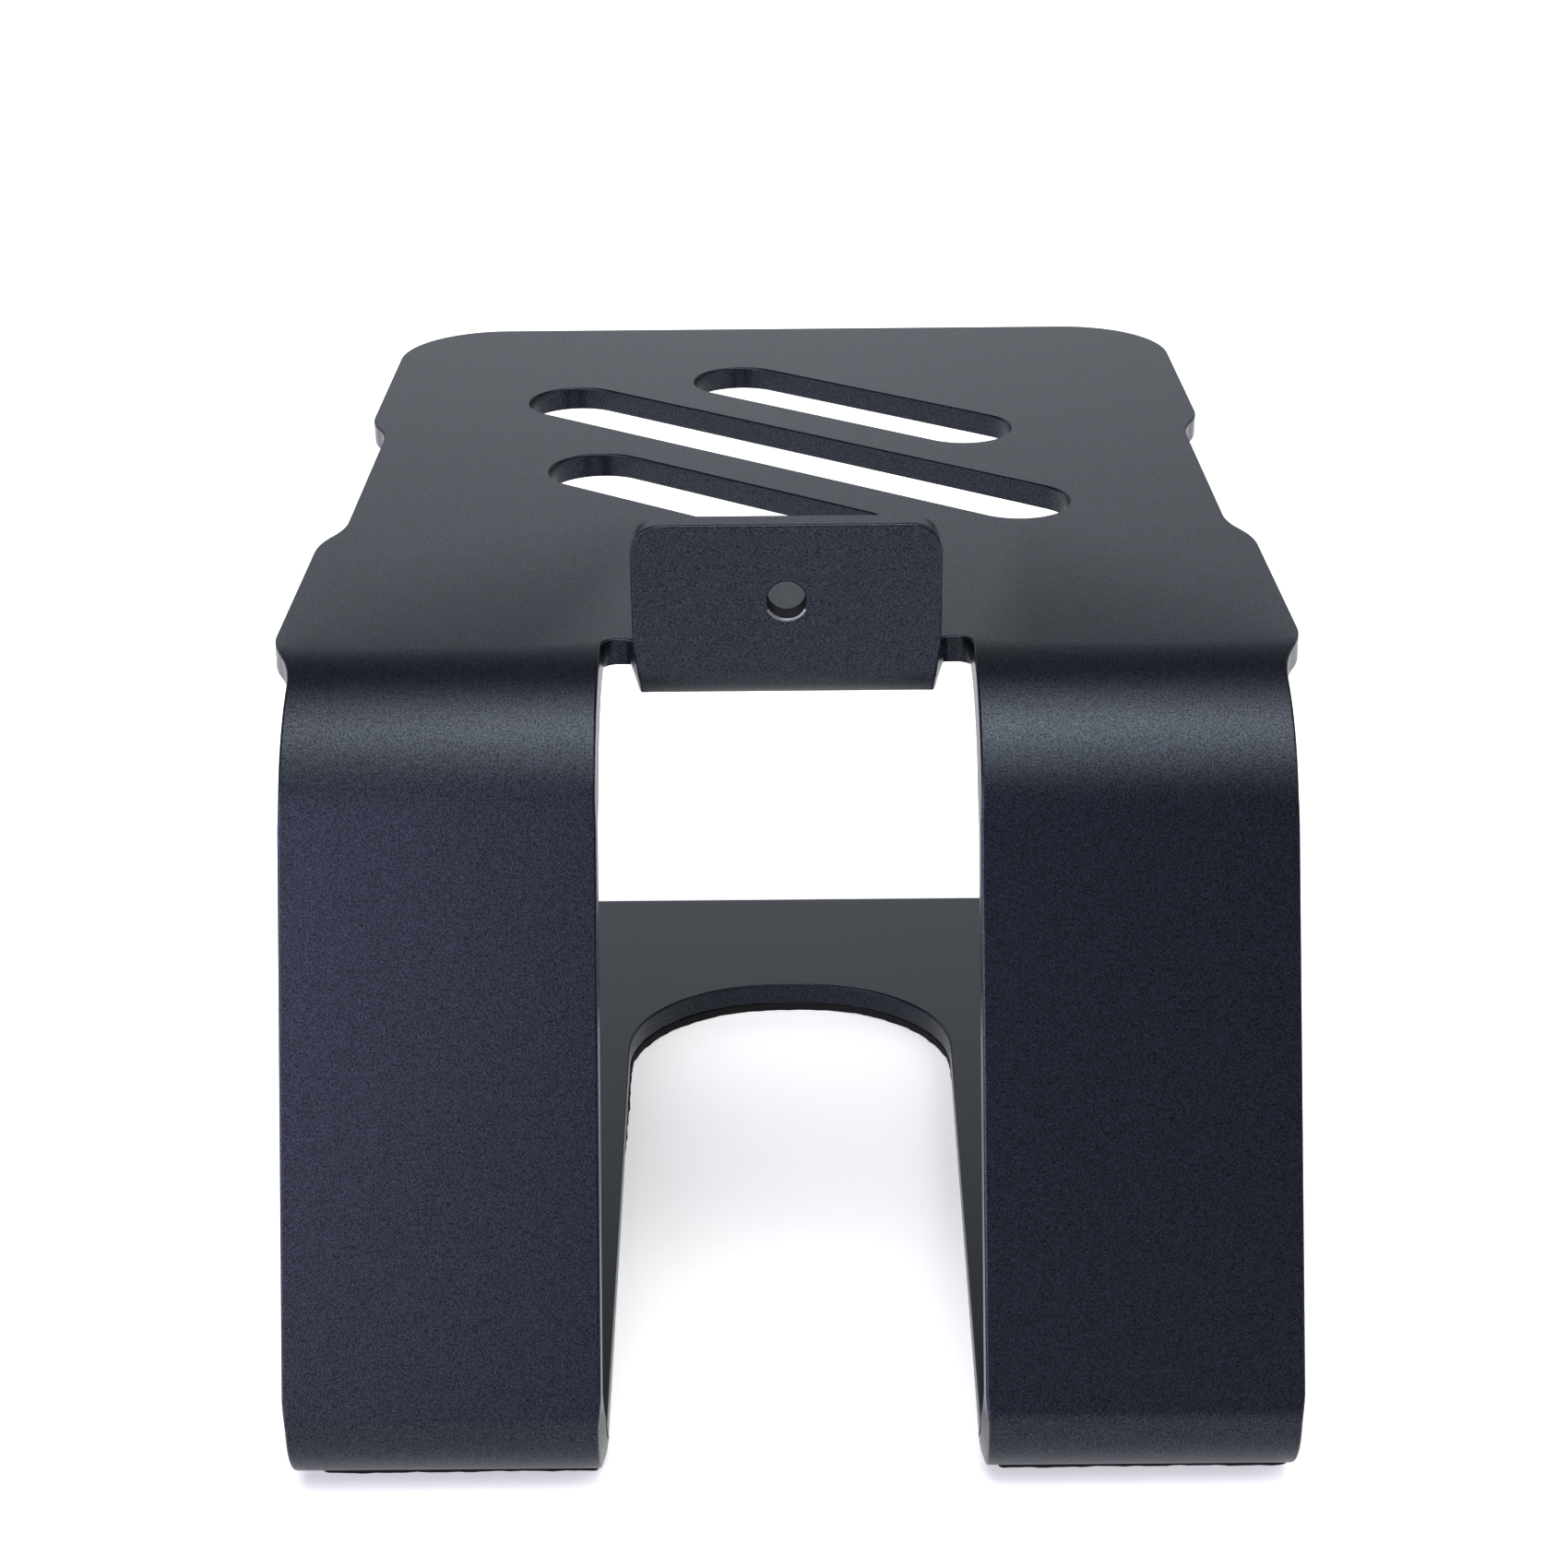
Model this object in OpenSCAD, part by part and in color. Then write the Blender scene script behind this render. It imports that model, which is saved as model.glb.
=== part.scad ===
// Desktop speaker stand: one sheet of metal, cut flat and then folded into a C.
// The slotted deck carries the speaker, the two legs at the rear lean forward,
// and the base lies on a thin rubber sheet. +Y is the front, where the deck ends,
// -Y the rear, where the legs and the upright tab are.

/* [Sheet] */
// Thickness of the sheet metal
sheet_t = 4; // [3:0.5:5]
// Outer radius of the bend between deck and legs
rear_bend_r = 27; // [20:0.5:32]
// Outer radius of the bend at the feet
foot_bend_r = 9.2; // [6:0.1:12]
// Radius of the corners in plan, on the deck and on the base
corner_r = 18.5; // [5:0.5:25]

/* [Deck] */
// Width of the deck at its widest
deck_w = 145; // [135:1:170]
// Length of the deck along its slope, from its front edge to the corner over the legs
deck_len = 178.2; // [170:0.1:220]
// Upward slope of the deck towards the front, in degrees
deck_tilt = 5; // [0:0.5:8]
// Height of the deck's front edge above the desk
front_h = 121.5; // [105:0.1:160]
// Depth of the shallow waist in each side of the deck
waist_depth = 3.3; // [1:0.1:6]
// Length of each curve that leads into the waist
waist_blend = 14; // [8:1:20]
// Distance from the front edge to the start of the waist
waist_from = 55; // [30:1:60]
// Distance from the front edge to the end of the waist
waist_to = 124; // [110:1:135]
// Distance from the front edge to the curve that narrows the deck to the legs
shoulder_from = 158; // [145:1:165]

/* [Slots] */
// Width of the three slots
slot_w = 17.1; // [10:0.1:20]
// Angle of the slots across the deck, in degrees
slot_angle = 36.7; // [20:0.1:45]
// Distance between the end centres of the long middle slot
long_slot = 92.6; // [60:0.1:100]
// Distance between the end centres of the two short slots
short_slot = 48.2; // [30:0.1:60]
// Spacing of the slots, measured across them
slot_pitch = 27.1; // [22:0.1:32]
// How far the short slots are moved along the slot angle
slot_shift = 6; // [0:0.1:12]
// Distance from the front edge to the centre of the middle slot
slot_centre = 75.1; // [70:0.1:90]

/* [Legs] */
// Lean of the legs from the vertical, in degrees
leg_lean = 20.4; // [10:0.1:25]
// Width of the window between the two legs
window_w = 52; // [40:0.1:60]
// Distance from the deck's front edge to the top of that window
window_from = 160.8; // [150:0.1:165]
// Radius of the corners where the window ends beside the tab
window_corner_r = 2; // [1:0.1:2.4]

/* [Tab] */
// Width of the upright tab
tab_w = 41.7; // [30:0.1:46]
// Height of the tab above the deck
tab_h = 22.3; // [16:0.1:30]
// Distance from the deck's front edge to the tab's front face
tab_from = 172.2; // [168:0.1:176]
// Inner radius of the tab's bend
tab_bend_r = 3; // [1:0.5:5]
// Radius of the tab's upper corners
tab_corner_r = 4; // [1:0.5:8]
// Diameter of the fixing hole in the tab
hole_d = 5.2; // [3:0.1:8]
// Height of that hole above the deck
hole_h = 11.6; // [8:0.1:14]

/* [Base] */
// Length of the base, from the rearmost point of the feet to its front edge
base_len = 200.8; // [170:0.1:220]
// Width of the window in the base where its round front end begins
arch_w = 58.4; // [54:0.1:64]
// Radius of the two arcs in that round end
arch_r = 26.4; // [20:0.1:26.9]
// Distance from the base's front edge to the round end
front_band = 42.6; // [30:0.1:60]

/* [Base sheet] */
// Thickness of the rubber sheet under the base
pad_t = 1.5; // [1:0.1:3]
// How far the rubber stays inside the edges of the metal
pad_inset = 0.5; // [0:0.1:3]
// How far the rubber goes back under the bend at the feet
pad_under = 1.4; // [0:0.1:2]

/* [Hidden] */
$fn = 96;

coating = "#3b3f43";
rubber = "#141516";

// How far a cut goes past the surfaces that it has to clear
over = 1;
// How far two outlines overlap where one runs into the other along a tangent
lap = 0.01;
// Largest step between the points of an arc, in degrees
arc_step = 3;

leg_w = deck_w - 2 * waist_depth;
// Radius and turn of the two arcs in each curve of the waist
blend_r = (pow(waist_blend, 2) + pow(waist_depth, 2)) / (4 * waist_depth);
blend_turn = asin(waist_blend / (2 * blend_r));

// Turn of the strip at each bend, from the slope of the deck to lying flat in the base
rear_turn = 90 - leg_lean - deck_tilt;
foot_turn = 90 + leg_lean;
// Length that each bend takes off the flats beside it, measured on the outside
rear_setback = rear_bend_r * tan(rear_turn / 2);
foot_setback = foot_bend_r * tan(foot_turn / 2);
deck_corner_z = front_h - deck_len * sin(deck_tilt);
leg_len = (deck_corner_z - pad_t) / cos(leg_lean);
leg_flat = leg_len - foot_setback - rear_setback;
deck_flat = deck_len - rear_setback;
base_flat = base_len - foot_bend_r;

// Places on the desk along Y, counted from the rearmost point of the feet
deck_corner_y = foot_bend_r - foot_setback + leg_len * sin(leg_lean);
edge_y = deck_corner_y + deck_len * cos(deck_tilt);
front_y = edge_y + sheet_t * sin(deck_tilt);
arch_y = base_len - front_band - arch_r;

// Directions and bend centres in the deck's side view, where the deck's top face is the x axis,
// its front edge is at 0 and the rear is at negative x
level = [cos(deck_tilt), -sin(deck_tilt)];
upright = [sin(deck_tilt), cos(deck_tilt)];
leg_out = [-sin(rear_turn), cos(rear_turn)];
leg_down = [-cos(rear_turn), -sin(rear_turn)];
rear_centre = [-deck_flat, -rear_bend_r];
foot_centre = rear_centre + (rear_bend_r - foot_bend_r) * leg_out + leg_flat * leg_down;

// Points along an arc, evenly spaced
function arc(centre, r, from, to) =
    let (steps = ceil(abs(to - from) / arc_step))
    [for (i = [0:steps])
        let (turn = from + (to - from) * i / steps)
        centre + r * [cos(turn), sin(turn)]];

function reversed(points) = [for (i = [len(points) - 1:-1:0]) points[i]];

// One face of the folded strip in side view, so deep under the outer face: round the rear bend,
// down the leg, round the foot and along the base to past its front edge
function leg_line(depth) = concat(
    arc(rear_centre, rear_bend_r - depth, 90, 90 + rear_turn),
    arc(foot_centre, foot_bend_r - depth, 90 + rear_turn, 90 + rear_turn + foot_turn),
    [foot_centre + (base_flat + over) * level + (depth - foot_bend_r) * upright]);

// Side view of legs and base, from where the rear bend begins
module leg_profile() {
    polygon(concat(leg_line(0), reversed(leg_line(sheet_t))));
}

// Side view of the whole strip, which begins with the deck
module strip_profile() {
    polygon(concat([[over, 0]], leg_line(0), reversed(leg_line(sheet_t)), [[over, -sheet_t]]));
}

// Turns a side view into a solid of the given width, centred on X
module across(width) {
    rotate([90, 0, 90])
        linear_extrude(height = width, center = true)
            children();
}

// Moves what follows to the deck: origin at the middle of its front edge, -Y along the slope to
// the rear, +Z out of the top face
module on_deck() {
    translate([0, edge_y, front_h])
        rotate([deck_tilt, 0, 0])
            children();
}

// A plan outline as a solid from so far below the deck's top face to just above it
module through_deck(depth) {
    translate([0, 0, -depth])
        linear_extrude(height = depth + over)
            children();
}

// A plan outline with two round front corners; its front edge is at y = 0
module round_fronted(width, length) {
    translate([-width / 2, -length])
        square([width, length - corner_r]);
    translate([-width / 2 + corner_r, -length])
        square([width - 2 * corner_r, length]);
    for (side = [-1, 1])
        translate([side * (width / 2 - corner_r), -corner_r])
            circle(r = corner_r);
}

// The deck edge's course into the waist, read from front to rear: a round-over, then a hollow of
// the same radius, each half of the blend long
function narrowing(from) = concat(
    arc([deck_w / 2 - blend_r, -from], blend_r, 0, -blend_turn),
    arc([leg_w / 2 + blend_r, -from - waist_blend], blend_r, 180 - blend_turn, 180));

// The same course out of the waist again, ending at full width
function widening(to) = concat(
    arc([leg_w / 2 + blend_r, waist_blend - to], blend_r, 180, 180 + blend_turn),
    arc([deck_w / 2 - blend_r, -to], blend_r, blend_turn, 0));

// The deck's outline, which goes on past the rear bend at the width of the legs
module deck_outline() {
    side = concat(
        arc([deck_w / 2 - corner_r, -corner_r], corner_r, 90, 0),
        narrowing(waist_from),
        widening(waist_to),
        narrowing(shoulder_from),
        [[leg_w / 2, -deck_len - rear_bend_r]]);
    mirrored = [for (point = reversed(side)) [-point.x, point.y]];
    polygon(concat(side, mirrored));
}

// A slot with round ends, its middle at the origin
module slot(centres) {
    translate([-centres / 2, -slot_w / 2])
        square([centres, slot_w]);
    for (end = [-1, 1])
        translate([end * centres / 2, 0])
            circle(d = slot_w);
}

// The three slots; the short ones lie point-symmetric about the long one
module slots() {
    translate([0, -slot_centre])
        rotate(-slot_angle) {
            slot(long_slot);
            for (side = [-1, 1])
                translate([-side * slot_shift, side * slot_pitch])
                    slot(short_slot);
        }
}

// The window's upper end in plan, with a round corner beside each leg
module window_end() {
    inner_w = window_w - 2 * window_corner_r;
    run = 2 * window_corner_r;
    translate([-inner_w / 2, -window_from - run])
        square([inner_w, run]);
    translate([-window_w / 2, -window_from - run])
        square([window_w, window_corner_r]);
    for (side = [-1, 1])
        translate([side * inner_w / 2, -window_from - window_corner_r])
            circle(r = window_corner_r);
}

// Side view of the window between the legs: all of the rear bend, legs and feet, and a little of
// the base, where the base's own window takes over
module window_profile() {
    clear = rear_bend_r + over;
    deep = foot_bend_r + over;
    front = foot_centre + foot_bend_r * level;
    polygon([
        [-window_from - window_corner_r, over],
        [-window_from - window_corner_r, -rear_bend_r],
        foot_centre,
        front,
        front - deep * upright,
        foot_centre - deep * (2 * level + upright),
        rear_centre + clear * [-tan(rear_turn / 2), 1]]);
}

// The window in the base, in plan: it widens steadily from the feet to its round front end.
// The margin is how much further its edge lies from the middle all round
module base_window(margin = 0) {
    flare = (arch_w - window_w) / 2 / (arch_y - foot_bend_r);
    rear_x = window_w / 2 - flare * foot_bend_r + margin;
    arch_x = arch_w / 2 + margin;
    end_r = arch_r + margin;
    polygon([[rear_x, 0], [arch_x, arch_y], [-arch_x, arch_y], [-rear_x, 0]]);
    translate([end_r - arch_x, arch_y - end_r])
        square([2 * (arch_x - end_r), 2 * end_r]);
    for (side = [-1, 1])
        translate([side * (arch_x - end_r), arch_y])
            circle(r = end_r);
}

// Side view of the tab: a short tongue, a bend and the upright
module tab_profile() {
    centre = [tab_bend_r - tab_from, tab_bend_r];
    root = over - window_from;
    polygon(concat(
        [[-tab_from, tab_h], [-tab_from - sheet_t, tab_h]],
        arc(centre, tab_bend_r + sheet_t, 180, 270),
        [[root, -sheet_t], [root, 0]],
        arc(centre, tab_bend_r, 270, 180)));
}

// The tongue's root in plan, flared so that it meets the deck in round inner corners
module tongue_root() {
    root_w = tab_w + 2 * window_corner_r;
    difference() {
        translate([-root_w / 2, -window_from - window_corner_r])
            square([root_w, window_corner_r + over]);
        for (side = [-1, 1])
            translate([side * root_w / 2, -window_from - window_corner_r])
                circle(r = window_corner_r);
    }
}

// Rear view of the tab's upright, with two round upper corners
module tab_outline() {
    inner_w = tab_w - 2 * tab_corner_r;
    foot = sheet_t + over;
    translate([-tab_w / 2, -foot])
        square([tab_w, foot + tab_h - tab_corner_r]);
    translate([-inner_w / 2, -foot])
        square([inner_w, foot + tab_h]);
    for (side = [-1, 1])
        translate([side * inner_w / 2, tab_h - tab_corner_r])
            circle(r = tab_corner_r);
}

// A rear view as a solid along Y, through the whole tab
module through_tab() {
    start = 2 * over - window_from;
    translate([0, start, 0])
        rotate([90, 0, 0])
            linear_extrude(height = start + tab_from + sheet_t + over)
                children();
}

// The tab that the rear of a speaker is screwed to
module tab() {
    difference() {
        intersection() {
            across(tab_w + 2 * over)
                tab_profile();
            through_tab()
                tab_outline();
        }
        through_tab()
            translate([0, hole_h])
                circle(d = hole_d);
    }
    translate([0, 0, -sheet_t])
        linear_extrude(height = sheet_t)
            tongue_root();
}

// Deck, legs and base as one strip, before the base gets its outline
module folded_strip() {
    difference() {
        union() {
            intersection() {
                across(deck_w + 2 * over)
                    strip_profile();
                through_deck(rear_bend_r + sheet_t)
                    deck_outline();
            }
            across(leg_w)
                leg_profile();
        }
        across(window_w)
            window_profile();
        through_deck(2 * sheet_t)
            window_end();
        through_deck(2 * sheet_t)
            slots();
    }
    tab();
}

// What the base's front edge and round corners leave, and everything above the base
module base_limits() {
    height = front_h + tab_h;
    rear = foot_bend_r + over;
    translate([0, base_len, 0])
        linear_extrude(height = pad_t + foot_bend_r)
            round_fronted(leg_w + 2 * lap, base_len + over);
    translate([-deck_w, -rear, pad_t + 2 * sheet_t])
        cube([2 * deck_w, front_y + 2 * rear, height]);
}

// The folded sheet: base, two legs, deck and tab in one piece
module bent_plate() {
    color(coating)
        translate([0, -front_y / 2, 0])
            difference() {
                intersection() {
                    on_deck()
                        folded_strip();
                    base_limits();
                }
                linear_extrude(height = pad_t + foot_bend_r)
                    base_window();
            }
}

// The rubber sheet under the flat of the base, open where the base is
module base_pad() {
    pad_w = leg_w - 2 * pad_inset;
    color(rubber)
        translate([0, -front_y / 2, 0])
            linear_extrude(height = pad_t)
                difference() {
                    translate([0, base_len - pad_inset])
                        round_fronted(pad_w, base_flat - pad_inset + pad_under);
                    base_window(pad_inset);
                }
}

bent_plate();
base_pad();
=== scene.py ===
"""Desktop speaker stand: one sheet of metal, cut flat, folded and powder coated, on a rubber sheet.

Both sheets are made the way the real ones are. Outlines are drawn on the flat blank, where x runs
across it and s along it, the rim gets its rounded edge, the faces are filled, and then every point
is carried along the folded path. Sizes are in millimetres until they go into a mesh.
"""

import bpy
import numpy as np
from mathutils import Matrix, Vector
from mathutils.geometry import delaunay_2d_cdt


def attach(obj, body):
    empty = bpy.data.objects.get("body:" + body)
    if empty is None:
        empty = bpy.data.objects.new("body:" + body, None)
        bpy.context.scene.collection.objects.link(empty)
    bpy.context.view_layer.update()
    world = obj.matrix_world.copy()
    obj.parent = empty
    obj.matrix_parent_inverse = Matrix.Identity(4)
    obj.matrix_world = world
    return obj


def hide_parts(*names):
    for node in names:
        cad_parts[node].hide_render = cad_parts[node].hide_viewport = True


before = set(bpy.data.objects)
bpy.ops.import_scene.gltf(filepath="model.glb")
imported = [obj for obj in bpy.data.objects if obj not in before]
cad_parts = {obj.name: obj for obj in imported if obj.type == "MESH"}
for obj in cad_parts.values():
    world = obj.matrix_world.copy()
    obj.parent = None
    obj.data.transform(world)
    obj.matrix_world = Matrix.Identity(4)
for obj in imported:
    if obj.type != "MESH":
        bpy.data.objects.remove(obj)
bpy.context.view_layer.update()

MM = 0.001

# Sheet and its folds
SHEET_T = 4.0
REAR_BEND_R = 27.0
FOOT_BEND_R = 9.2
CORNER_R = 18.5
EDGE_R = 0.4
DECK_TILT = 5.0
LEG_LEAN = 20.4
FRONT_H = 121.5

# Deck and its waist
DECK_W = 145.0
DECK_LEN = 178.2
WAIST_DEPTH = 3.3
WAIST_BLEND = 14.0
WAIST_FROM = 55.0
WAIST_TO = 124.0
SHOULDER_FROM = 158.0

# Slots in the deck
SLOT_W = 17.1
SLOT_ANGLE = 36.7
LONG_SLOT = 92.6
SHORT_SLOT = 48.2
SLOT_PITCH = 27.1
SLOT_SHIFT = 6.0
SLOT_CENTRE = 75.1

# Window between the legs and the tab in it
WINDOW_W = 52.0
WINDOW_FROM = 160.8
WINDOW_CORNER_R = 2.0
FLARE_R = 1.0
TAB_W = 41.7
TAB_H = 22.3
TAB_FROM = 172.2
TAB_BEND_R = 3.0
TAB_CORNER_R = 4.0
HOLE_D = 5.2
HOLE_H = 11.6

# Base and its round-ended window
BASE_LEN = 200.8
ARCH_W = 58.4
ARCH_R = 26.4
FRONT_BAND = 42.6

# Rubber under the base: it lies inside the base's edges, and passes the arch and the foot bend
PAD_T = 1.5
PAD_INSET = 0.5
PAD_UNDER = 1.4
PAD_EDGE_R = 0.15
PAD_ARCH_INSET = 0.2
# How far inside the legs' edges its hand-cut back corners lie: outer and inner on the left foot,
# inner and outer on the right one
PAD_BACK_INSETS = (3.4, 1.0, 2.5, 0.1)
PAD_INNER_CORNER_R = 0.8
PAD_OUTER_CORNER_R = 1.5
# Lengths and heights of the waves in its cut edge, and the seed of their phases
CUT_WAVES = [(47, 0.08), (13, 0.06), (5.3, 0.07), (2.9, 0.05)]
CUT_SEED = 7

# Sideways movement of an edge at a bend, for a strain of one
PULL = 1.75
# How deep the lip of the tab's hole goes: the bore wall's painted shade stops there, and the lip's
# lower part gets a painted highlight
LIP_DEPTH = 0.6 * EDGE_R

# Coating: its colour in the grain's hollows and on its tops, the tint of its gloss, its gloss in
# the hollows and on the tops, its roughness, and the grain's width and height
COAT_DARK = "#08090d"
COAT_LIGHT = "#22262f"
COAT_SHEEN = "#e3f0ff"
COAT_GLOSS = (0.312, 0.728)
COAT_ROUGHNESS = 0.3
COAT_GRAIN = 0.22
COAT_RELIEF = 0.019

# Spacing of the points along an outline, and of the rows and columns of points in a bend
RIM_STEP = 1.0
ROW_STEP = 1.0
COLUMN_STEP = 2.5
# Degrees between the points of a corner's arc, and points across a rounded edge
ARC_STEP = 4
EDGE_POINTS = 5
# Part of half a slot's width that its end corners are rounded by: with all of it two arcs' ends
# would fall together
FULL_ROUND = 0.9999
# Points closer than this are one
TOUCHING = 1e-3


def unit(vectors):
    """Vectors of length one."""
    return vectors / np.linalg.norm(vectors, axis=-1, keepdims=True)


def heading(degrees):
    """Direction at an angle from +Y towards +Z, as (y, z)."""
    turn = np.radians(degrees)
    return np.stack([np.cos(turn), np.sin(turn)], axis=-1)


class FoldedPath:
    """Side view of a sheet's outer face: straight runs and round bends, one after the other.

    Each run is (length, turn in degrees) and goes on where the last one ends.
    """

    def __init__(self, start, first_heading, runs):
        lengths, turns = np.array(runs, float).T
        self.knots = np.concatenate([[0], np.cumsum(lengths)])
        self.headings = first_heading + np.concatenate([[0], np.cumsum(turns)])
        self.bends = turns / lengths
        self.starts = np.array([start], float)
        for i, length in enumerate(lengths):
            end = self.starts[i] + self.chord(i, length)
            self.starts = np.vstack([self.starts, end])

    def chord(self, run, distance):
        """Step from the start of a run. A run that turns evenly has moved, after a distance d,
        along a chord of length d * sin(u) / u that leans by u, half the angle turned."""
        half = self.bends[run] * distance / 2
        length = distance * np.sinc(half / 180)
        return heading(self.headings[run] + half) * np.asarray(length)[..., None]

    def at(self, s):
        """Place (y, z) and heading in degrees at distances s along the path."""
        run = np.clip(np.searchsorted(self.knots, s, side="right") - 1, 0, len(self.bends) - 1)
        distance = s - self.knots[run]
        angle = self.headings[run] + self.bends[run] * distance
        return self.starts[run] + self.chord(run, distance), angle

    def bend_near(self, s, reach):
        """Mean turn per millimetre, in radians, within reach of s."""
        ahead, behind = (np.interp(s + side * reach, self.knots, self.headings) for side in (1, -1))
        return np.radians(ahead - behind) / (2 * reach)


def rounded(corners, radii):
    """Closed outline of straight runs with an arc at each corner, tangent to both runs.

    The arc's ends lie r / tan(a/2) from the corner and its centre r / sin(a/2) from it on the line
    that halves the corner's angle a.
    """
    corners = np.array(corners, float)
    back = unit(np.roll(corners, 1, axis=0) - corners)
    ahead = unit(np.roll(corners, -1, axis=0) - corners)
    points = []
    for corner, u, v, r in zip(corners, back, ahead, radii):
        half = np.arccos(np.clip(u @ v, -1, 1)) / 2
        centre = corner + unit(u + v) * r / np.sin(half)
        first = corner + u * r / np.tan(half) - centre
        turn = np.sign(u[1] * v[0] - u[0] * v[1]) * (np.pi - 2 * half)
        steps = max(2, int(np.ceil(abs(turn) / np.radians(ARC_STEP))))
        angle = np.linspace(0, turn, steps + 1)[:, None]
        sideways = np.array([-first[1], first[0]])
        points.append(centre + first * np.cos(angle) + sideways * np.sin(angle))
    points = np.vstack(points)
    gap = np.linalg.norm(points - np.roll(points, 1, axis=0), axis=1)
    return points[gap > TOUCHING]


def spaced(points):
    """Splits each run of a closed outline into equal parts no longer than RIM_STEP."""
    run = np.roll(points, -1, axis=0) - points
    parts = np.ceil(np.linalg.norm(run, axis=1) / RIM_STEP).astype(int)
    index = np.repeat(np.arange(len(points)), parts)
    part = np.arange(parts.sum()) - np.repeat(np.cumsum(parts) - parts, parts)
    return points[index] + run[index] * (part / parts[index])[:, None]


def mirrored(half_corners, half_radii):
    """Corners of an outline whose second half mirrors the first across x = 0."""
    other = [(-x, s) for x, s in reversed(half_corners)]
    return half_corners + other, half_radii + half_radii[::-1]


def signed_area(points):
    """Area of a closed outline: half the sum of its runs' cross products, positive when it runs
    anticlockwise."""
    x, s = points.T
    return 0.5 * np.sum(x * np.roll(s, -1) - np.roll(x, -1) * s)


def outward(points, hole):
    """Unit normals of a closed outline that point out of the metal: the mean of the two runs'
    directions turned by a quarter, towards the outside of an outline and the inside of a hole."""
    run = unit(np.roll(points, -1, axis=0) - points)
    mean = unit(run + np.roll(run, 1, axis=0))
    side = np.sign(signed_area(points)) * (-1 if hole else 1)
    return side * np.stack([mean[:, 1], -mean[:, 0]], axis=-1)


def inside(points, outline):
    """Whether each point lies in an outline: a ray from it crosses the outline an odd number of
    times."""
    x, s = points[:, 0, None], points[:, 1, None]
    (x0, s0), (x1, s1) = outline.T, np.roll(outline, -1, axis=0).T
    crosses = (s0 > s) != (s1 > s)
    rise = np.where(s1 == s0, 1, s1 - s0)
    return (crosses & (x < x0 + (s - s0) * (x1 - x0) / rise)).sum(axis=1) % 2 == 1


def rim_profile(thickness, edge_r):
    """Section of a sheet's rim from its outer to its inner face: a quarter arc, a straight wall
    and a quarter arc, as (outward, depth, normal's outward part, normal's upward part)."""
    turn = np.radians(np.linspace(90, 0, EDGE_POINTS))
    out, up = np.cos(turn), np.sin(turn)
    first = np.stack([edge_r * (out - 1), edge_r * (1 - up), out, up], axis=-1)
    last = first[::-1] * [1, 0, 1, -1]
    last[:, 1] = thickness - first[::-1, 1]
    return np.vstack([first, last])


def blank(outline, holes, thickness, edge_r, lattice):
    """A flat sheet with rounded edges, as vertices (x, s, depth), normals (x, s, up) and faces.

    Every rim is the outline's points times the rim profile. The outer face is filled between the
    profiles' first points and the lattice, and the inner face repeats the fill at full depth.
    """
    profile = rim_profile(thickness, edge_r)
    across = len(profile)
    vertices, normals, faces, seams, flat = [], [], [], [], []
    count = 0
    for loop in [outline] + holes:
        out = outward(loop, hole=loop is not outline)
        place = loop[:, None] + out[:, None] * profile[None, :, :1]
        depth = np.broadcast_to(profile[None, :, 1:2], place.shape[:2] + (1,))
        vertices.append(np.concatenate([place, depth], axis=2).reshape(-1, 3))
        level = out[:, None] * profile[None, :, 2:3]
        up = np.broadcast_to(profile[None, :, 3:4], depth.shape)
        normals.append(np.concatenate([level, up], axis=2).reshape(-1, 3))
        here = np.arange(len(loop))
        after = np.roll(here, -1)
        k = np.arange(across - 1)
        quad = np.stack([here[:, None] * across + k, after[:, None] * across + k,
                         after[:, None] * across + k + 1, here[:, None] * across + k + 1], axis=-1)
        if (signed_area(loop) > 0) != (loop is outline):
            quad = quad[..., ::-1]
        faces.append(count + quad.reshape(-1, 4))
        seams.append(np.stack([here, after], axis=-1) + len(flat))
        flat.extend(count + here * across)
        count += len(loop) * across
    flat = np.array(flat)
    rim = np.vstack(vertices)[flat, :2]
    filled = np.vstack([rim, lattice])
    _, _, triangles, source, _, _ = delaunay_2d_cdt(
        [Vector(p) for p in filled], np.vstack(seams).tolist(), [], 1, 1e-6)
    origin = np.array([first[0] for first in source])
    triangles = origin[np.array(triangles)]
    middle = filled[triangles].mean(axis=1)
    ends = np.cumsum([len(loop) for loop in [outline] + holes])
    outer_rim, *hole_rims = np.split(rim, ends[:-1])
    keep = inside(middle, outer_rim)
    for hole_rim in hole_rims:
        keep &= ~inside(middle, hole_rim)
    triangles = triangles[keep]
    a, b, c = (filled[triangles[:, i]] for i in range(3))
    turned = np.cross(b - a, c - a) > 0
    triangles[turned] = triangles[turned][:, ::-1]
    lattice_top = count + np.arange(len(lattice))
    top = np.concatenate([flat, lattice_top])
    bottom = np.concatenate([flat + across - 1, lattice_top + len(lattice)])
    for depth, up in ((0, 1), (thickness, -1)):
        column = np.ones((len(lattice), 1))
        vertices.append(np.hstack([lattice, column * depth]))
        normals.append(np.hstack([column * 0, column * 0, column * up]))
    faces = np.vstack(faces).tolist()
    faces += top[triangles].tolist() + bottom[triangles[:, ::-1]].tolist()
    return np.vstack(vertices), np.vstack(normals), faces


def mesh_piece(name, vertices, normals, faces, materials, node):
    """Puts arrays in millimetres into a smooth-shaded piece that stands for a CAD node. Its
    normals are the formula's own, so that flat faces stay flat beside the rounded edges."""
    mesh = bpy.data.meshes.new(name)
    mesh.from_pydata(vertices * MM, [], faces)
    mesh.shade_smooth()
    mesh.normals_split_custom_set_from_vertices(unit(normals))
    for material in materials:
        mesh.materials.append(material)
    piece = bpy.data.objects.new(name, mesh)
    bpy.context.scene.collection.objects.link(piece)
    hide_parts(node)
    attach(piece, "root")
    return piece


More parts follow.
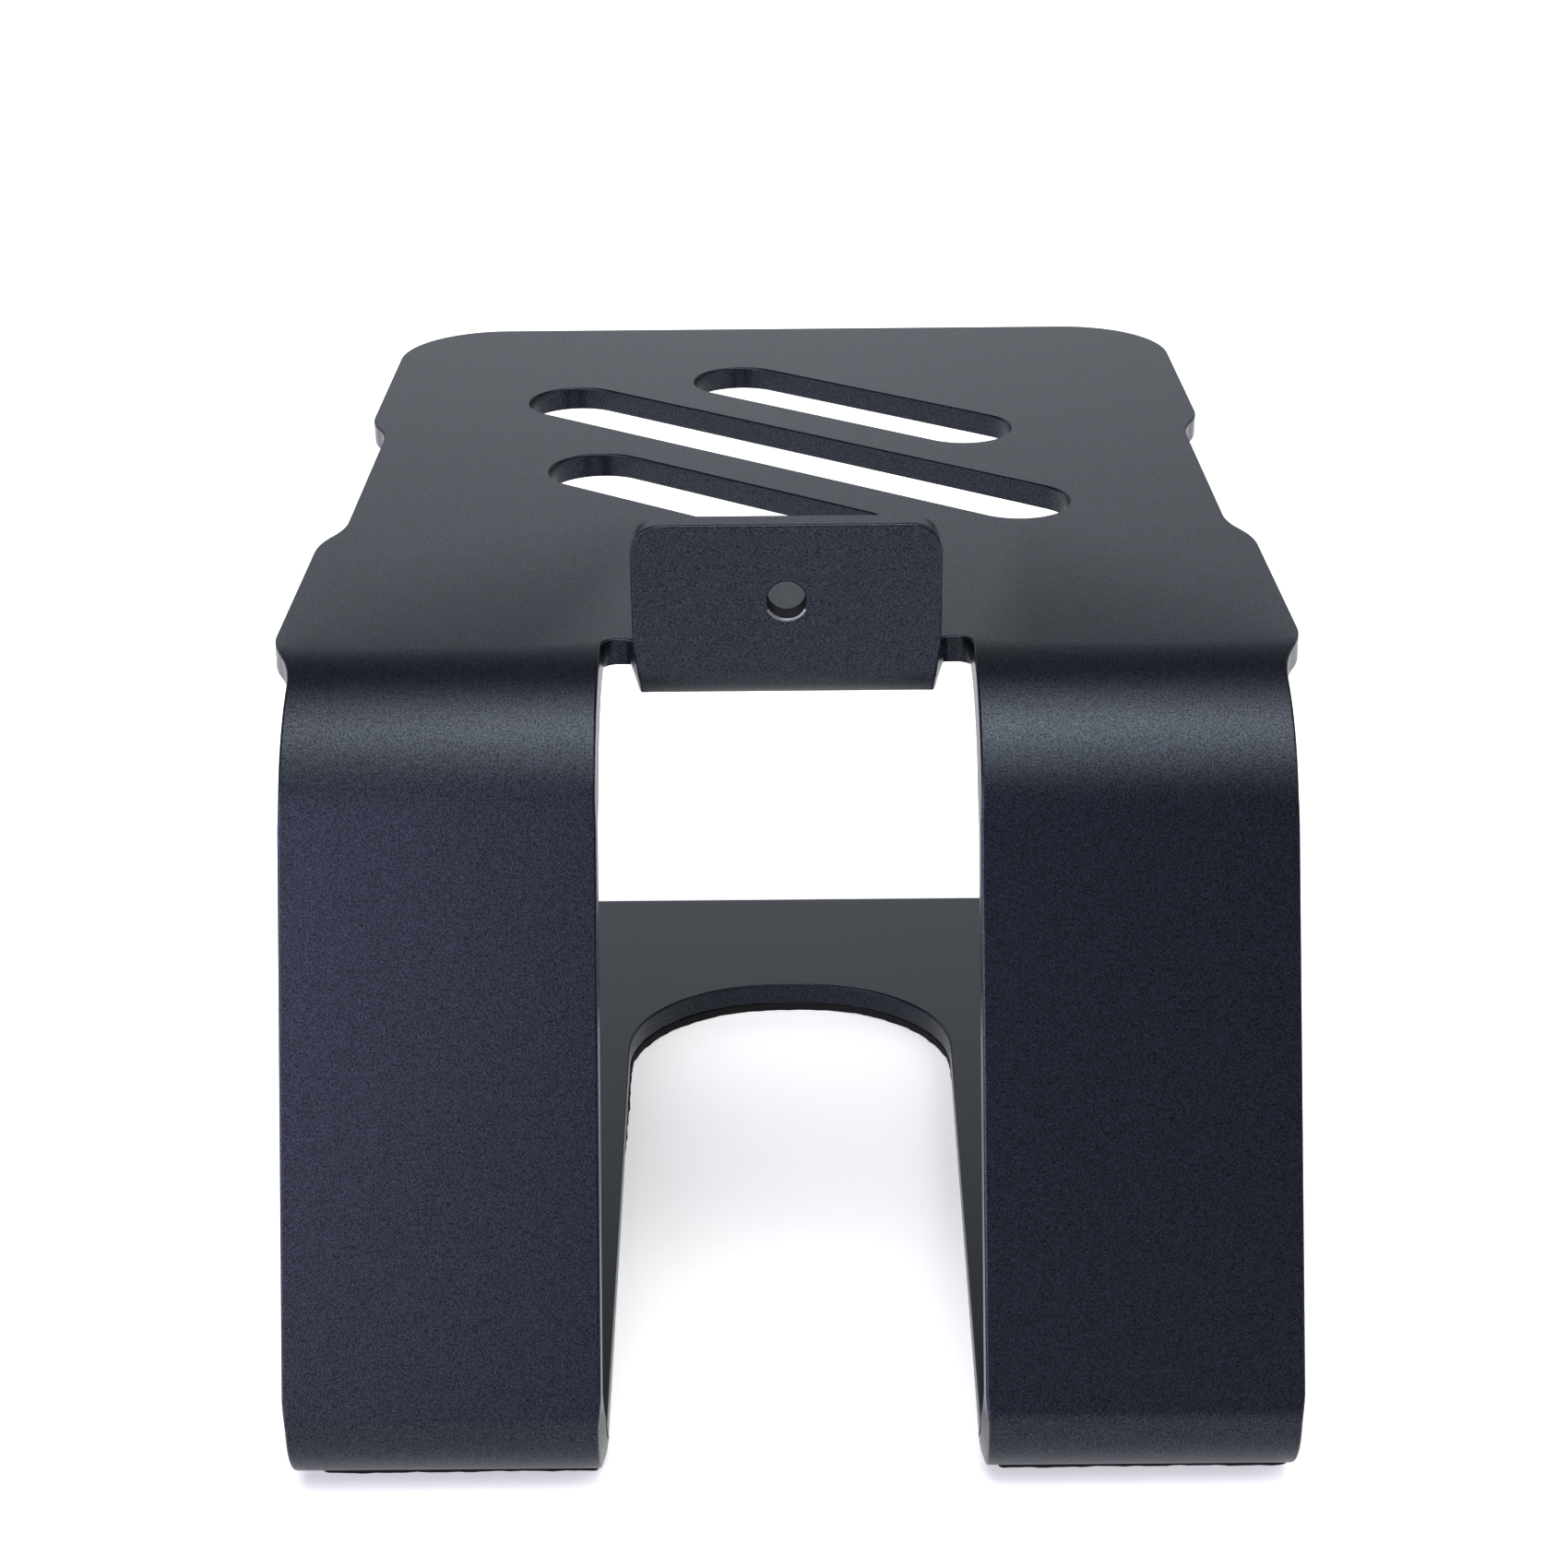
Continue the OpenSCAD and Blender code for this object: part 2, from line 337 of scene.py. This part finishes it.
def follow(path, vertices, normals):
    """Carries a blank's points and normals along a folded path, depth counted inwards."""
    place, angle = path.at(vertices[:, 1])
    along, out = heading(angle), heading(angle - 90)
    side_view = place - out * vertices[:, 2:]
    turned = normals[:, 1:2] * along + normals[:, 2:] * out
    return np.column_stack([vertices[:, 0], side_view]), np.column_stack([normals[:, 0], turned])


def set_back(radius, turn):
    """Length that a bend takes off each flat beside it, measured on the outer face."""
    return radius * np.tan(np.radians(turn) / 2)


rear_turn = 90 - LEG_LEAN - DECK_TILT
foot_turn = 90 + LEG_LEAN
rear_setback = set_back(REAR_BEND_R, rear_turn)
foot_setback = set_back(FOOT_BEND_R, foot_turn)
corner_h = FRONT_H - DECK_LEN * np.sin(np.radians(DECK_TILT))
leg_len = (corner_h - PAD_T) / np.cos(np.radians(LEG_LEAN))
corner_y = FOOT_BEND_R - foot_setback + leg_len * np.sin(np.radians(LEG_LEAN))
front_edge_y = corner_y + DECK_LEN * np.cos(np.radians(DECK_TILT))
overall_y = front_edge_y + SHEET_T * np.sin(np.radians(DECK_TILT))
rear_y = -overall_y / 2
deck_start = (rear_y + front_edge_y, FRONT_H)
leg_w = DECK_W - 2 * WAIST_DEPTH

strip = FoldedPath(deck_start, 180 + DECK_TILT, [
    (DECK_LEN - rear_setback, 0),
    (REAR_BEND_R * np.radians(rear_turn), rear_turn),
    (leg_len - rear_setback - foot_setback, 0),
    (FOOT_BEND_R * np.radians(foot_turn), foot_turn),
    (BASE_LEN - FOOT_BEND_R, 0)])
tab_path = FoldedPath(deck_start, 180 + DECK_TILT, [
    (TAB_FROM - TAB_BEND_R, 0),
    (TAB_BEND_R * np.pi / 2, -90),
    (TAB_H - TAB_BEND_R, 0)])
rear_bend_from, leg_from, foot_bend_from, base_from, base_to = strip.knots[1:]
tab_bend_from, upright_from, tab_tip = tab_path.knots[1:]


def s_curve(start, x_from, x_to):
    """Two corners that lead an edge sideways in a curve of two equal arcs, and the arcs' radius."""
    depth = abs(x_to - x_from)
    radius = (WAIST_BLEND ** 2 + depth ** 2) / (4 * depth)
    lead = radius * np.tan(np.arcsin(WAIST_BLEND / (2 * radius)) / 2)
    return [(x_from, start + lead), (x_to, start + WAIST_BLEND - lead)], [radius, radius]


def plate_outline():
    """The blank's outline: deck with its waist and shoulders, then legs and base."""
    wide, narrow = DECK_W / 2, leg_w / 2
    corners, radii = [(wide, 0)], [CORNER_R]
    for start, x_from, x_to in ((WAIST_FROM, wide, narrow), (WAIST_TO - WAIST_BLEND, narrow, wide),
                                (SHOULDER_FROM, wide, narrow)):
        pair, pair_radii = s_curve(start, x_from, x_to)
        corners += pair
        radii += pair_radii
    return rounded(*mirrored(corners + [(narrow, base_to)], radii + [CORNER_R]))


def plate_window():
    """The opening round the tab, between the legs and in the base, with its round front end."""
    arch_s = base_to - FRONT_BAND - ARCH_R
    flare = (ARCH_W - WINDOW_W) / 2 / (arch_s - base_from)
    half = [(TAB_W / 2, tab_tip), (TAB_W / 2, WINDOW_FROM), (WINDOW_W / 2, WINDOW_FROM),
            (WINDOW_W / 2, base_from), (ARCH_W / 2 + flare * ARCH_R, arch_s + ARCH_R)]
    radii = [TAB_CORNER_R, WINDOW_CORNER_R, WINDOW_CORNER_R, FLARE_R, ARCH_R]
    return rounded(*mirrored(half, radii))


def long_hole(centre, angle, centres, width):
    """A slot with round ends, or a round hole when its end centres coincide."""
    half_l, half_w = (centres + width) / 2, width / 2
    corners = np.array([(half_l, half_w), (-half_l, half_w), (-half_l, -half_w), (half_l, -half_w)])
    turn = np.radians(angle)
    axes = np.array([[np.cos(turn), np.sin(turn)], [-np.sin(turn), np.cos(turn)]])
    return rounded(corners @ axes + centre, [half_w * FULL_ROUND] * 4)


def deck_slots():
    """The long slot and two short ones, point-symmetric about its middle."""
    middle = np.array([0, SLOT_CENTRE])
    along, side = heading(SLOT_ANGLE), heading(SLOT_ANGLE - 90)
    slots = [long_hole(middle, SLOT_ANGLE, LONG_SLOT, SLOT_W)]
    for way in (-1, 1):
        centre = middle + way * (SLOT_PITCH * side - SLOT_SHIFT * along)
        slots.append(long_hole(centre, SLOT_ANGLE, SHORT_SLOT, SLOT_W))
    return slots


def grid(x_from, x_to, s_from, s_to):
    """Evenly spaced points that fill a rectangle of the blank."""
    columns = np.linspace(x_from, x_to, int(np.ceil((x_to - x_from) / COLUMN_STEP)) + 1)
    rows = np.linspace(s_from, s_to, int(np.ceil((s_to - s_from) / ROW_STEP)) + 1)
    return np.stack(np.meshgrid(columns, rows), axis=-1).reshape(-1, 2)


def bend_lattice():
    """Points inside the bends, so that the faces there follow the curve."""
    clear = 2 * EDGE_R + RIM_STEP
    inner, outer = WINDOW_W / 2 + clear, leg_w / 2 - clear
    parts = [grid(clear - TAB_W / 2, TAB_W / 2 - clear, tab_bend_from, upright_from)]
    for s_from, s_to in ((rear_bend_from + WINDOW_CORNER_R, leg_from), (foot_bend_from, base_from)):
        parts += [grid(inner, outer, s_from, s_to), grid(-outer, -inner, s_from, s_to)]
    return np.vstack(parts)


def edge_pull(path, vertices, edges):
    """How far bending moves points sideways: on the outside of a bend the sheet draws in at its
    edges and on the inside it spreads, in proportion to the strain there, fading away from an edge
    over one thickness. Edges are (x, side of the metal) pairs."""
    bend = path.bend_near(vertices[:, 1], SHEET_T / 2)
    strain = SHEET_T / 2 * bend / (1 - bend * SHEET_T / 2)
    depth = 1 - 2 * vertices[:, 2] / SHEET_T
    reach = sum(side * np.exp(-np.maximum(side * (np.abs(vertices[:, 0]) - x), 0) / SHEET_T)
                for x, side in edges)
    return np.sign(vertices[:, 0]) * PULL * strain * depth * reach


def folded_plate(coating, bore_shade, lip_highlight):
    """The stand: its blank folded along the strip's path, and the tab along its own. The wall of
    the tab's hole gets a dark material as painted shade, and the lower part of the hole's lip gets
    bright metal as a painted highlight."""
    hole_s = upright_from + HOLE_H - TAB_BEND_R
    holes = [plate_window()] + deck_slots() + [long_hole((0, hole_s), 0, 0, HOLE_D)]
    vertices, normals, faces = blank(spaced(plate_outline()), [spaced(hole) for hole in holes],
                                     SHEET_T, EDGE_R, bend_lattice())
    tab_middle, tab_half = (tab_tip + WINDOW_FROM) / 2, (tab_tip - WINDOW_FROM) / 2
    on_tab = ((np.abs(vertices[:, 0]) < TAB_W / 2 + EDGE_R)
              & (np.abs(vertices[:, 1] - tab_middle) < tab_half + EDGE_R))
    legs = edge_pull(strip, vertices, [(WINDOW_W / 2, 1), (leg_w / 2, -1)])
    tab = edge_pull(tab_path, vertices, [(TAB_W / 2, -1)])
    folded, turned = follow(strip, vertices, normals)
    tab_folded, tab_turned = follow(tab_path, vertices, normals)
    folded[on_tab], turned[on_tab] = tab_folded[on_tab], tab_turned[on_tab]
    folded[:, 0] += np.where(on_tab, tab, legs)
    sheet = mesh_piece("folded_sheet", folded, turned, faces, [coating, bore_shade, lip_highlight],
                       "bent_plate")
    x, s, depth = (np.array([vertices[face].mean(axis=0) for face in faces]) - [0, hole_s, 0]).T
    in_hole = np.hypot(x, s) < HOLE_D / 2 + EDGE_R
    # Painted shade: the wall of the tab's hole gets the dark material
    wall = in_hole & (depth < SHEET_T - LIP_DEPTH)
    # Painted highlight: the lower part of the hole's lip gets the bright metal, where its rounded
    # edge catches the light
    painted_lip_highlight = in_hole & (depth > SHEET_T - LIP_DEPTH) & (s < -HOLE_D / 4)
    sheet.data.polygons.foreach_set("material_index", (wall + 2 * painted_lip_highlight).astype(np.int32))
    return sheet


def ragged(outline):
    """An outline cut by hand: each point moves in or out by the sum of four waves along the cut,
    a few millimetres to a few centimetres long, with phases drawn from a fixed seed."""
    step = np.linalg.norm(np.roll(outline, -1, axis=0) - outline, axis=1)
    along = np.concatenate([[0], np.cumsum(step)[:-1]])
    phases = np.random.default_rng(CUT_SEED).uniform(0, 2 * np.pi, len(CUT_WAVES))
    whole = along[-1] + step[-1]
    sway = sum(size * np.sin(2 * np.pi * round(whole / length) * along / whole + phase)
               for (length, size), phase in zip(CUT_WAVES, phases))
    return outline + outward(outline, hole=False) * sway[:, None]


def rubber_sheet(material):
    """The rubber under the base, cut by hand to the base's outline: its back corners lie unevenly
    inside the legs' edges, and its edge waves."""
    arch_x, arch_s = ARCH_W / 2 + PAD_ARCH_INSET, BASE_LEN - FRONT_BAND + PAD_ARCH_INSET
    side, front, back = leg_w / 2 - PAD_INSET, BASE_LEN - PAD_INSET, FOOT_BEND_R - PAD_UNDER
    left_out, left_in, right_in, right_out = PAD_BACK_INSETS
    corners = [(arch_x, arch_s), (WINDOW_W / 2 + right_in, back),
               (leg_w / 2 - right_out, back), (side, front),
               (-side, front), (left_out - leg_w / 2, back),
               (-WINDOW_W / 2 - left_in, back), (-arch_x, arch_s)]
    radii = [ARCH_R + PAD_ARCH_INSET, PAD_INNER_CORNER_R, PAD_OUTER_CORNER_R, CORNER_R - PAD_INSET]
    cut = ragged(spaced(rounded(corners, radii + radii[::-1])))
    path = FoldedPath((rear_y, 0), 0, [(BASE_LEN, 0)])
    vertices, normals, faces = blank(cut, [], PAD_T, PAD_EDGE_R, np.empty((0, 2)))
    laid, turned = follow(path, vertices, normals)
    return mesh_piece("rubber_sheet", laid, turned, faces, [material], "base_pad")


def linear(hex_colour):
    """An sRGB hex colour as the linear RGBA that shaders take."""
    srgb = np.array([int(hex_colour[i:i + 2], 16) for i in (1, 3, 5)]) / 255
    rgb = np.where(srgb <= 0.04045, srgb / 12.92, ((srgb + 0.055) / 1.055) ** 2.4)
    return (*rgb, 1.0)


def add(tree, kind, settings=None, inputs=None):
    """Adds a node: settings are its own properties, inputs are values or sockets that feed it."""
    node = tree.nodes.new("ShaderNode" + kind)
    for name, value in (settings or {}).items():
        setattr(node, name, value)
    for name, value in (inputs or {}).items():
        if isinstance(value, bpy.types.NodeSocket):
            tree.links.new(value, node.inputs[name])
        else:
            node.inputs[name].default_value = value
    return node


def new_material(name):
    """An empty material and its node tree."""
    material = bpy.data.materials.new(name)
    material.use_nodes = True
    material.node_tree.nodes.clear()
    return material, material.node_tree


def powder_coated_steel():
    """Fine-textured powder coat: sprayed as powder and baked, so it is matt, blue-black and finely
    pebbled. The pebbles tilt the surface, and the hollows between them reflect less. A real coat's
    pebbles can be finer, and these are as coarse as they need to be to show."""
    material, tree = new_material("powder_coated_steel")
    place = add(tree, "TexCoord").outputs["Object"]
    grain = add(tree, "TexNoise", inputs={"Vector": place, "Scale": 1 / (COAT_GRAIN * MM),
                                          "Detail": 1.0}).outputs["Fac"]
    shade = add(tree, "ValToRGB", inputs={"Fac": grain})
    darkest, lightest = shade.color_ramp.elements
    darkest.position, darkest.color = 0.32, linear(COAT_DARK)
    lightest.position, lightest.color = 0.68, linear(COAT_LIGHT)
    gloss = add(tree, "MapRange", inputs={"Value": grain, "From Min": 0.3, "From Max": 0.7,
                                          "To Min": COAT_GLOSS[0], "To Max": COAT_GLOSS[1]})
    bump = add(tree, "Bump", inputs={"Height": grain, "Strength": 1.0,
                                     "Distance": COAT_RELIEF * MM})
    coat = add(tree, "BsdfPrincipled", inputs={"Base Color": shade.outputs["Color"],
                                               "Roughness": COAT_ROUGHNESS,
                                               "Specular Tint": linear(COAT_SHEEN),
                                               "Specular IOR Level": gloss.outputs["Result"],
                                               "IOR": 1.5, "Normal": bump.outputs["Normal"]})
    add(tree, "OutputMaterial", inputs={"Surface": coat.outputs["BSDF"]})
    return material


def painted_highlight_metal():
    """A painted highlight for the lower lip of the tab's hole: bright metal, dulled unevenly over
    0.2 mm, that stands in for the light its rounded edge catches."""
    material, tree = new_material("painted_highlight_metal")
    place = add(tree, "TexCoord").outputs["Object"]
    wear = add(tree, "TexNoise", inputs={"Vector": place, "Scale": 1 / (0.2 * MM), "Detail": 2.0})
    tone = add(tree, "ValToRGB", inputs={"Fac": wear.outputs["Fac"]})
    tone.color_ramp.elements[0].color = linear("#5c5f61")
    tone.color_ramp.elements[1].color = linear("#a2a4a5")
    metal = add(tree, "BsdfPrincipled", inputs={"Base Color": tone.outputs["Color"],
                                                "Metallic": 1.0, "Roughness": 0.45})
    add(tree, "OutputMaterial", inputs={"Surface": metal.outputs["BSDF"]})
    return material


def painted_shade_bore_wall():
    """Painted shade for the wall of the tab's hole: a dark, dull and even coat that stands in for
    the shade inside the small bore."""
    material, tree = new_material("painted_shade_bore_wall")
    coat = add(tree, "BsdfPrincipled", inputs={"Base Color": linear("#08090a"), "Roughness": 0.5,
                                               "Specular IOR Level": 0.15})
    add(tree, "OutputMaterial", inputs={"Surface": coat.outputs["BSDF"]})
    return material


def cut_rubber():
    """Black rubber sheet: rolled and cut with a knife, so it is dull, nearly black and slightly
    grainy. The grain is 0.8 mm wide and 0.1 mm high, coarser than a real one, to show."""
    material, tree = new_material("cut_rubber")
    place = add(tree, "TexCoord").outputs["Object"]
    grain = add(tree, "TexNoise", inputs={"Vector": place, "Scale": 1 / (0.8 * MM),
                                          "Detail": 3.0}).outputs["Fac"]
    shade = add(tree, "ValToRGB", inputs={"Fac": grain})
    shade.color_ramp.elements[0].color = linear("#101112")
    shade.color_ramp.elements[1].color = linear("#1e1f21")
    bump = add(tree, "Bump", inputs={"Height": grain, "Strength": 0.5, "Distance": 0.1 * MM})
    body = add(tree, "BsdfPrincipled", inputs={"Base Color": shade.outputs["Color"],
                                               "Roughness": 0.85, "IOR": 1.5,
                                               "Normal": bump.outputs["Normal"]})
    add(tree, "OutputMaterial", inputs={"Surface": body.outputs["BSDF"]})
    return material


# Light that comes through the white floor from below, and half the floor's side in metres
FLOOR_GLOW = 0.45
FLOOR_HALF = 4.0


def paper_floor():
    """A square of white paper on a light table: matt, even and a little bright of itself."""
    material, tree = new_material("white_paper")
    body = add(tree, "BsdfPrincipled", inputs={"Base Color": linear("#f4f4f4"), "Roughness": 0.9,
                                               "Emission Color": linear("#ffffff"),
                                               "Emission Strength": FLOOR_GLOW})
    add(tree, "OutputMaterial", inputs={"Surface": body.outputs["BSDF"]})
    mesh = bpy.data.meshes.new("floor")
    square = [(-1, -1, 0), (1, -1, 0), (1, 1, 0), (-1, 1, 0)]
    mesh.from_pydata(np.array(square) * FLOOR_HALF, [], [(0, 1, 2, 3)])
    mesh.materials.append(material)
    floor = bpy.data.objects.new("floor", mesh)
    bpy.context.scene.collection.objects.link(floor)


# Camera, fitted to the photo's outlines: place in millimetres, angles in degrees, lens from the
# focal length in pixels of the 1700-pixel frame
CAMERA_AT = (-0.14, -414.77, 218.16)
CAMERA_PITCH = 20.2
CAMERA_YAW = 0.07
CAMERA_ROLL = -0.52
FOCAL_PIXELS = 2895
FRAME_PIXELS = 1700
SENSOR_MM = 36.0


def photo_camera():
    """Camera behind the stand and above it, where the photo was taken from."""
    lens = bpy.data.cameras.new("camera")
    lens.sensor_fit = "HORIZONTAL"
    lens.sensor_width = SENSOR_MM
    lens.lens = SENSOR_MM * FOCAL_PIXELS / FRAME_PIXELS
    camera = bpy.data.objects.new("camera", lens)
    camera.matrix_world = (Matrix.Translation(Vector(CAMERA_AT) * MM)
                           @ Matrix.Rotation(np.radians(CAMERA_YAW), 4, "Z")
                           @ Matrix.Rotation(np.radians(90 - CAMERA_PITCH), 4, "X")
                           @ Matrix.Rotation(np.radians(CAMERA_ROLL), 4, "Z"))
    bpy.context.scene.collection.objects.link(camera)
    bpy.context.scene.camera = camera


# The studio's light by direction: its angle over the top in degrees, from the horizon at the
# stand's front (0) to the one at its rear (180), its brightness and its tint. The middle has a low
# white card at the front and a soft box overhead, the left a card at each end, and the right a
# weaker card and box. They fade into one another sideways, up to SIDE_REACH of the direction.
MIDDLE_LIGHT = [(0, 0, "#ffffff"), (18, 1.4, "#f4faff"), (36, 0.65, "#f4faff"),
                (74, 0, "#ffffff"), (95, 5.2, "#faf9f8"), (108, 9.0, "#fdfaf6"),
                (120, 5.0, "#faf9f8"), (133, 3.4, "#f4f4f8"), (146, 0.2, "#d8dcff"),
                (180, 0.2, "#d8dcff")]
LEFT_LIGHT = [(5, 0, "#ffffff"), (34, 1.6, "#f4faff"), (50, 0, "#ffffff"),
              (138, 0, "#e6dcf6"), (160, 9.6, "#e6dcf6"), (180, 2.0, "#e6dcf6")]
RIGHT_LIGHT = [(5, 0, "#ffffff"), (34, 1.4, "#f4faff"), (50, 0, "#ffffff"),
               (95, 0, "#ffffff"), (108, 2.4, "#ffffff"), (120, 2.4, "#ffffff"),
               (140, 0.2, "#d8dcff"), (180, 0.2, "#d8dcff")]
FULL_POWER = 12.0
SIDE_REACH = 0.5
BACKDROP = "#f4f4f4"
# Contrast of the finished photo
PHOTO_GAMMA = 0.8


def bands(tree, fraction, lights, sideways, reach, powers):
    """One side's light: a colour ramp over the angle, as a fraction of half a turn, times a power
    that goes evenly from the first to the second as sideways goes from nought to the reach."""
    ramp = add(tree, "ValToRGB", inputs={"Fac": fraction})
    elements = ramp.color_ramp.elements
    while len(elements) < len(lights):
        elements.new(0.5)
    # All places come first, because the ramp sorts its elements by place
    for element, (degrees, _, _) in zip(elements, lights):
        element.position = degrees / 180
    for element, (_, power, tint) in zip(elements, lights):
        element.color = (*(power / FULL_POWER * np.array(linear(tint)[:3])), 1)
    strength = add(tree, "MapRange", inputs={"Value": sideways, "From Min": 0.0, "From Max": reach,
                                             "To Min": powers[0], "To Max": powers[1]})
    light = add(tree, "Background", inputs={"Color": ramp.outputs["Color"],
                                            "Strength": strength.outputs["Result"]})
    return light.outputs["Background"]


def studio():
    """Soft light from all round, by direction (x, y, z): its angle over the top is atan2(z, y).
    The sides' shares grow with x / SIDE_REACH, and the middle has what they leave. The camera sees
    an even pale backdrop behind the floor, and only the stand and the floor see the lights."""
    world = bpy.data.worlds.new("studio")
    world.use_nodes = True
    tree = world.node_tree
    tree.nodes.clear()
    direction = add(tree, "TexCoord").outputs["Generated"]
    x, y, z = add(tree, "SeparateXYZ", inputs={"Vector": direction}).outputs
    angle = add(tree, "Math", {"operation": "ARCTAN2"}, {0: z, 1: y}).outputs["Value"]
    fraction = add(tree, "Math", {"operation": "DIVIDE"}, {0: angle, 1: np.pi}).outputs["Value"]
    off_middle = add(tree, "Math", {"operation": "ABSOLUTE"}, {0: x}).outputs["Value"]
    left = bands(tree, fraction, LEFT_LIGHT, x, -SIDE_REACH, (0.0, FULL_POWER))
    middle = bands(tree, fraction, MIDDLE_LIGHT, off_middle, SIDE_REACH, (FULL_POWER, 0.0))
    right = bands(tree, fraction, RIGHT_LIGHT, x, SIDE_REACH, (0.0, FULL_POWER))
    sides = add(tree, "AddShader", inputs={0: left, 1: right}).outputs["Shader"]
    lights = add(tree, "AddShader", inputs={0: sides, 1: middle}).outputs["Shader"]
    backdrop = add(tree, "Background", inputs={"Color": linear(BACKDROP), "Strength": 1.0})
    camera_ray = add(tree, "LightPath").outputs["Is Camera Ray"]
    seen = add(tree, "MixShader", inputs={0: camera_ray, 1: lights,
                                          2: backdrop.outputs["Background"]})
    add(tree, "OutputWorld", inputs={"Surface": seen.outputs["Shader"]})
    bpy.context.scene.world = world
    bpy.context.scene.view_settings.view_transform = "Standard"
    bpy.context.scene.view_settings.gamma = PHOTO_GAMMA


photo_camera()
studio()
paper_floor()
folded_plate(powder_coated_steel(), painted_shade_bore_wall(), painted_highlight_metal())
rubber_sheet(cut_rubber())
